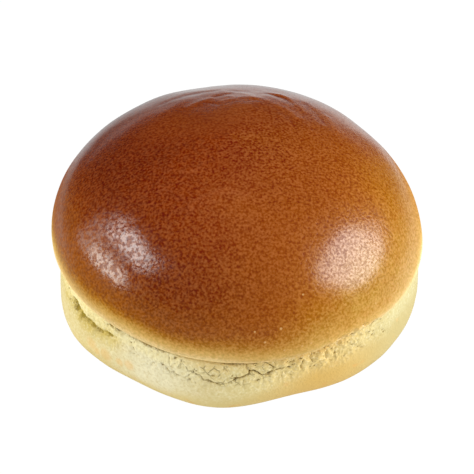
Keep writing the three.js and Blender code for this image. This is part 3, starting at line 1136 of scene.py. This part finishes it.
# How dark the seam shade has to be to show, with its ragged edge and without
SEAM_SHOWS = (0.45, 0.8)
FAINT_SEAM = (0.1, 0.4)
GRAIN_MM = 0.2
bend_inputs = {"Vector": at["Place"], "Scale": 1 / (BEND_PITCH * MM), "Detail": 2.0}
bend = add(crumb, "TexNoise", bend_inputs).outputs["Color"]
bent = vector_calc(crumb, "MULTIPLY_ADD", bend, (PLATE_BEND * MM,) * 3, at["Place"])
plate_inputs = {"Vector": bent, "Scale": 1 / (PLATE_PITCH * MM)}
plates = add(crumb, "TexVoronoi", plate_inputs, feature="DISTANCE_TO_EDGE").outputs["Distance"]
hairline = fade(crumb, plates, 0.0, HAIRLINE_MM / PLATE_PITCH, 1.0, 0.0)
shown = fade(crumb, speckle(crumb, at["Place"], SHOWN_PITCH, 1.0), *SHOWN_RANGE)
hairline = calc(crumb, "MULTIPLY", calc(crumb, "MULTIPLY", hairline, shown), at["Crazed"])
tone = blend(crumb, hairline, tone, HAIRLINE_SHADE_COLOUR)

ragged = calc(crumb, "SUBTRACT", speckle(crumb, at["Place"], SEAM_RAGGED_PITCH, 2.0), 0.5)
ragged = calc(crumb, "MULTIPLY", ragged, SEAM_RAGGED)
seam_shade_line = fade(crumb, calc(crumb, "ADD", at["Seam"], ragged), *SEAM_SHOWS)
seam_shade_line = calc(crumb, "MULTIPLY", seam_shade_line, fade(crumb, at["Seam"], *FAINT_SEAM))
crumb.links.new(tone, out["Color"])
crumb.links.new(calc(crumb, "MULTIPLY", seam_shade_line, SEAM_SHARE), out["Line"])
crumb_height = calc(crumb, "MULTIPLY", grains, GRAIN_MM)
sunk_lines = calc(crumb, "MULTIPLY", calc(crumb, "MAXIMUM", hairline, seam_shade_line), HAIRLINE_DEPTH)
crumb.links.new(calc(crumb, "SUBTRACT", crumb_height, sunk_lines), out["Height"])
print("Torn crumb has", len(crumb.nodes), "nodes")

# %% [markdown]
# The crust material.
# One material covers the bun, as one skin does. The above number decides where glaze gives way to
# crumb, with a ragged edge, and the height over the tray where crumb gives way to the tanned heel.
# The egg wash is a thin clear film, so a coat over the crust stands for it, thinner in the gaps of the
# pebbled skin and lost at the torn edge. The crust below it shines softly, and the crumb hardly at all.
# Seen edge on, a smooth coat turns into a mirror of the lights, which a pebbled glaze does not, so it
# fades there, except on the crinkled back shoulder, which keeps its bright rim.

# %% Crust material: the dome's colour
crust = bpy.data.materials.new("crust")
crust.use_nodes = True
tree = crust.node_tree
tree.nodes.clear()
place = add(tree, "TexCoord").outputs["Object"]


def point_value(name):
    return add(tree, "Attribute", attribute_name=name).outputs["Fac"]


above_crease = point_value("above")
right_side = point_value("right")
glaze_share = point_value("glaze")
crinkle_share = point_value("crinkle")
pebbled_at = {"Place": place, "Glaze": glaze_share, "Crinkle": crinkle_share, "Right": right_side}
skin_dots = place_group(tree, pebbles, pebbled_at)
baked = {"Place": place, "Bake": point_value("bake_light_and_shade"), "Dots": skin_dots["Dots"]}
baked |= {name.title(): point_value(name) for name in ("mark", "grain", "sallow")}
crust_colour = place_group(tree, browning, baked)["Color"]
print("The dome has", len(tree.nodes), "nodes")

# %% Crust material: the waist's colour
HEEL_WANDER = 7.0
HEEL_WANDER_PITCH = 7.0
HEEL_BAND = (16.0, 9.0)
HEEL_TAN = shade(217, 195, 127)
RIGHT_TAN = shade(198, 182, 124)
GOLD_TAN = shade(218, 180, 100)
FRECKLE = shade(222, 170, 92)
FRECKLE_SHARE = 0.6
FRECKLE_PITCH = 5.0
FRECKLE_RANGE = (0.62, 0.72)
FOOT_BROWN = shade(190, 124, 58)
FOOT_BAND = (4.0, 0.0)
SCORCH = shade(228, 182, 104)
SCORCH_SHARE = 0.45
# Each spot is (bearing, height, radius) in degrees and millimetres
HEEL_SPOTS = [
    (-51, 12.9, 2.2),
    (-48.8, 11.2, 1.6),
    (-45.2, 11.9, 2.3),
    (-39.5, 11.9, 1.5),
    (-36, 12.5, 1.9),
]
axes = add(tree, "SeparateXYZ", {0: place}).outputs
height_mm = calc(tree, "DIVIDE", axes["Z"], MM)
gold_side = point_value("gold")
heel_edge = calc(tree, "MULTIPLY", speckle(tree, place, HEEL_WANDER_PITCH, 3.0), HEEL_WANDER)
heel_edge = calc(tree, "SUBTRACT", heel_edge, point_value("climb"))
heel_share = fade(tree, calc(tree, "ADD", height_mm, heel_edge), *HEEL_BAND)
hollow_shade_share = point_value("hollow_shade")
torn_at = {"Place": place, "Right": right_side, "Gold": gold_side, "Hollow_Shade": hollow_shade_share}
torn_at |= {name.title(): point_value(name) for name in ("seam", "white", "strip", "crazed", "under")}
crumb_out = place_group(tree, crumb, torn_at)
freckles = fade(tree, speckle(tree, place, FRECKLE_PITCH, 1.0), *FRECKLE_RANGE, 0.0, FRECKLE_SHARE)
tan = blend(tree, right_side, HEEL_TAN, RIGHT_TAN)
tan = blend(tree, gold_side, tan, GOLD_TAN)
tan = blend(tree, freckles, tan, FRECKLE)
tan = blend(tree, fade(tree, height_mm, *FOOT_BAND), tan, FOOT_BROWN)
scorched = calc(tree, "MULTIPLY", spot_share(tree, place, HEEL_SPOTS), SCORCH_SHARE)
waist_colour = blend(tree, heel_share, crumb_out["Color"], tan)
waist_colour = blend(tree, scorched, waist_colour, SCORCH)
print("With the waist it has", len(tree.nodes), "nodes")

# %% Crust material: the lip and the painted shade in the seams
LIP_RAGGED = 2.0
LIP_RAGGED_PITCH = 2.0
GOLD_RAGGED = 5.0
LIP_BAND = (-0.3, 1.6)
# Painted shade down in the seams, yellower in the cleft's hollow
SEAM_SHADE_COLOUR = shade(140, 105, 22)
HOLLOW_SEAM_SHADE_COLOUR = shade(164, 144, 48)
lip_noise = calc(tree, "SUBTRACT", speckle(tree, place, LIP_RAGGED_PITCH, 3.0), 0.5)
lip_ragged = fade(tree, gold_side, 0.0, 1.0, LIP_RAGGED, LIP_RAGGED + GOLD_RAGGED)
lip_edge = calc(tree, "ADD", calc(tree, "MULTIPLY", lip_noise, lip_ragged), point_value("reach"))
crust_share = fade(tree, calc(tree, "ADD", above_crease, lip_edge), *LIP_BAND)
base_colour = blend(tree, crust_share, waist_colour, crust_colour)
seam_shade_colour = blend(tree, hollow_shade_share, SEAM_SHADE_COLOUR, HOLLOW_SEAM_SHADE_COLOUR)
base_colour = blend(tree, crumb_out["Line"], base_colour, seam_shade_colour)
print("With the lip it has", len(tree.nodes), "nodes")

# %% Crust material: gloss and bump
CRUST_GLOSS = 0.3
GLAZED_ROUGHNESS = (0.28, 0.18)  # where the glaze is thin and where it is thick
ROUGHNESS_DRIFT = (-0.03, 0.03)
DRIFTING_PITCH = 6.0
DRIFTING_RANGE = (0.3, 0.7)
CRUMB_ROUGHNESS = 0.85
FILM_IOR = 1.6
FILM_ROUGHNESS = 0.2
# How far edge on the skin is seen, from 0 to 1, where the film starts to fade and where it is gone
EDGE_ON = (0.5, 0.9)
EDGE_ROUGHNESS = 0.8
CRINKLE_FADE = (0.0, 0.6)
CRINKLE_KEEPS = 0.5  # on the crinkled shoulder, edge on counts only this much
glazed_rough = fade(tree, glaze_share, 0.0, 1.0, *GLAZED_ROUGHNESS)
rough_drift = fade(tree, speckle(tree, place, DRIFTING_PITCH, 2.0), *DRIFTING_RANGE, *ROUGHNESS_DRIFT)
crust_rough = calc(tree, "ADD", glazed_rough, rough_drift)
roughness = fade(tree, crust_share, 0.0, 1.0, CRUMB_ROUGHNESS, crust_rough)
edge_on = add(tree, "LayerWeight").outputs["Facing"]
edge_on = calc(tree, "MULTIPLY", edge_on, fade(tree, crinkle_share, *CRINKLE_FADE, 1.0, CRINKLE_KEEPS))
roughness = fade(tree, edge_on, *EDGE_ON, roughness, EDGE_ROUGHNESS)
film_share = calc(tree, "MULTIPLY", crust_share, fade(tree, edge_on, *EDGE_ON, 1.0, 0.0))

pebble_mm = calc(tree, "MULTIPLY", skin_dots["Height"], crust_share)
crumb_mm = calc(tree, "MULTIPLY", crumb_out["Height"], fade(tree, crust_share, 0.0, 1.0, 1.0, 0.0))
bump_height = calc(tree, "ADD", pebble_mm, crumb_mm)
bump = add(tree, "Bump", {"Height": bump_height, "Distance": MM, "Strength": 1.0})
shader = add(
    tree,
    "BsdfPrincipled",
    {
        "Base Color": base_colour,
        "Roughness": roughness,
        "Specular IOR Level": CRUST_GLOSS,
        "Coat Weight": calc(tree, "MULTIPLY", skin_dots["Film"], film_share),
        "Coat Roughness": FILM_ROUGHNESS,
        "Coat IOR": FILM_IOR,
        "Normal": bump.outputs["Normal"],
    },
)
add(tree, "OutputMaterial", {"Surface": shader.outputs[0]})
bun_mesh.materials.append(crust)
print("The crust has", len(tree.nodes), "nodes")

# %% [markdown]
# Studio.
# The bun stands on a plain white table in a dim room, with a large soft light on the right and three
# smaller ones on the left. The table glows, as a light table does, so it lights the waist from below
# and leaves hardly any shadow. Mirrored in the glaze, table and room are dim, which keeps the dome free
# of haze, apart from bright stretches beside and behind the bun that give its rim a sheen.

# %% Floor
FLOOR_SIDE = 6.0
floor_mesh = bpy.data.meshes.new("floor")
half = FLOOR_SIDE / 2
floor_corners = [(-half, -half, 0), (half, -half, 0), (half, half, 0), (-half, half, 0)]
floor_mesh.from_pydata(floor_corners, [], [(0, 1, 2, 3)])
floor = bpy.data.objects.new("floor", floor_mesh)
floor.location.z = cad_low.z
bpy.context.scene.collection.objects.link(floor)
print("The floor is", FLOOR_SIDE, "m wide")

# %% Floor material
FLOOR_GLOW = 1.0
FLOOR_MIRRORED = 0.03
FLOOR_BACK_MIRRORED = 0.68
FLOOR_NEAR_MIRRORED = 0.55
FLOOR_FILL = 1.13
TABLE_GREY = shade(45, 45, 45)
WHITE_LIGHT = (1, 1, 1, 1)
# Where the bright stretch behind the bun starts and ends, in metres from the bun's middle
BEHIND_STARTS = (-0.02, 0.12)
BEHIND_ENDS = (0.09, 0.17)
LEFT_DIMS = (-0.05, 0.0)
LEFT_SHARE = 0.6
# Where the bright ring near the bun ends, and the slanted line that it starts from
NEAR_ENDS = (0.06, 0.30)
NEAR_STARTS = (-0.07, 0.04)
NEAR_SLANT = 0.25
table_white = bpy.data.materials.new("table_white")
table_white.use_nodes = True
tree = table_white.node_tree
tree.nodes.clear()
matt = add(tree, "BsdfDiffuse", {"Color": TABLE_GREY})
spot = add(tree, "TexCoord").outputs["Object"]
across, back, _ = add(tree, "SeparateXYZ", {0: spot}).outputs
behind = fade(tree, back, *BEHIND_STARTS)
sideways = calc(tree, "ABSOLUTE", across)
behind = calc(tree, "MULTIPLY", behind, fade(tree, sideways, *BEHIND_ENDS, 1.0, 0.0))
behind = calc(tree, "MULTIPLY", behind, fade(tree, across, *LEFT_DIMS, LEFT_SHARE, 1.0))
behind = fade(tree, behind, 0.0, 1.0, FLOOR_MIRRORED, FLOOR_BACK_MIRRORED)
slanted = calc(tree, "ADD", back, calc(tree, "MULTIPLY", across, NEAR_SLANT))
near = fade(tree, vector_calc(tree, "LENGTH", spot), *NEAR_ENDS, 1.0, 0.0)
near = calc(tree, "MULTIPLY", near, fade(tree, slanted, *NEAR_STARTS))
mirrored = calc(tree, "MAXIMUM", behind, calc(tree, "MULTIPLY", near, FLOOR_NEAR_MIRRORED))
path = add(tree, "LightPath").outputs
strength = fade(tree, path["Is Diffuse Ray"], 0.0, 1.0, mirrored, FLOOR_FILL)
strength = fade(tree, path["Is Camera Ray"], 0.0, 1.0, strength, FLOOR_GLOW)
glow = add(tree, "Emission", {"Color": WHITE_LIGHT, "Strength": strength})
both = add(tree, "AddShader", {0: matt.outputs[0], 1: glow.outputs[0]})
add(tree, "OutputMaterial", {"Surface": both.outputs[0]})
floor_mesh.materials.append(table_white)
print("The table's finish has", len(tree.nodes), "nodes")

# %% Room
ROOM_MIRRORED = 0.01
ROOM_BACK_MIRRORED = 0.45
ROOM_FILL = 0.5
BACKDROP_LIGHT = 1.0
BACKDROP_STARTS = (0.75, 0.95)
BACKDROP_ENDS = (0.0, 0.16)
room = bpy.data.worlds.new("studio")
room.use_nodes = True
bpy.context.scene.world = room
tree = room.node_tree
tree.nodes.clear()
_, back, up = add(tree, "SeparateXYZ", {0: add(tree, "TexCoord").outputs["Generated"]}).outputs
behind = fade(tree, back, *BACKDROP_STARTS)
behind = calc(tree, "MULTIPLY", behind, fade(tree, up, *BACKDROP_ENDS, 1.0, 0.0))
mirrored = fade(tree, behind, 0.0, 1.0, ROOM_MIRRORED, ROOM_BACK_MIRRORED)
path = add(tree, "LightPath").outputs
strength = fade(tree, path["Is Diffuse Ray"], 0.0, 1.0, mirrored, ROOM_FILL)
strength = fade(tree, path["Is Camera Ray"], 0.0, 1.0, strength, BACKDROP_LIGHT)
background = add(tree, "Background", {"Color": WHITE_LIGHT, "Strength": strength})
add(tree, "OutputWorld", {"Surface": background.outputs[0]})
print("The room has", len(tree.nodes), "nodes")

# %% Soft lights
# Each light is (name, shape, bearing and elevation, half width and half height, roll, brightness,
# colour), with its angles in degrees
SOFT_LIGHTS = [
    ("right_soft", "ELLIPSE", (83, 24), (23.5, 21.2), -14, 5.4, (1, 1, 1)),
    ("left_upper_soft", "RECTANGLE", (-75.5, 38.5), (16, 6), 0, 6.9, (1, 0.98, 0.94)),
    ("left_lower_soft", "RECTANGLE", (-76, 13), (12.5, 8), 0, 6.0, (1, 0.98, 0.88)),
    ("left_side_soft", "RECTANGLE", (-97, 16), (9, 15), 0, 1.2, (1, 0.97, 0.9)),
]
LIGHT_DISTANCE = 0.9
LIGHT_AIM = Vector((0, 0, 35 * MM))


def direction(bearing, elevation):
    """The way from the bun towards a bearing and an elevation, in degrees."""
    level = math.cos(math.radians(elevation))
    across = level * math.sin(math.radians(bearing))
    back = -level * math.cos(math.radians(bearing))
    return Vector((across, back, math.sin(math.radians(elevation))))


for name, shape, angles, halves, roll, brightness, colour in SOFT_LIGHTS:
    light = bpy.data.lights.new(name, "AREA")
    light.shape = shape
    light.color = colour
    light.size, light.size_y = (2 * LIGHT_DISTANCE * math.tan(math.radians(half)) for half in halves)
    filled = math.pi / 4 if shape == "ELLIPSE" else 1
    light.energy = brightness * math.pi * filled * light.size * light.size_y
    lamp = bpy.data.objects.new(name, light)
    towards = direction(*angles)
    lamp.location = LIGHT_AIM + LIGHT_DISTANCE * towards
    rolled = Quaternion((0, 0, 1), math.radians(roll))
    lamp.rotation_euler = (towards.to_track_quat("Z", "Y") @ rolled).to_euler()
    bpy.context.scene.collection.objects.link(lamp)
    print(name, "gives", round(light.energy, 1), "W")

# %% [markdown]
# Camera.
# The picture looks down on the bun by about 40 degrees with a long lens, which keeps the dome's edges
# nearly parallel. The standard view transform keeps the white table white and the browns as mixed.

# %% Camera
CAMERA_ELEVATION = 39.5
CAMERA_DISTANCE = 650 * MM
CAMERA_AIM = Vector((-0.15 * MM, 0.61 * MM, 23.2 * MM))
LENS_MM = 172.3
SENSOR_MM = 36

towards = direction(0, CAMERA_ELEVATION)
camera_data = bpy.data.cameras.new("camera")
camera_data.lens = LENS_MM
camera_data.sensor_width = SENSOR_MM
camera = bpy.data.objects.new("camera", camera_data)
camera.location = CAMERA_AIM + CAMERA_DISTANCE * towards
camera.rotation_euler = towards.to_track_quat("Z", "Y").to_euler()
bpy.context.scene.collection.objects.link(camera)
bpy.context.scene.camera = camera
bpy.context.scene.view_settings.view_transform = "Standard"
print("The camera is", round(camera.location.length, 2), "m away")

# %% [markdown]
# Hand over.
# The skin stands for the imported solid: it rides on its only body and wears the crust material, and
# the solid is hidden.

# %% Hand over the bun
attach(bun, "root")
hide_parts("bun")
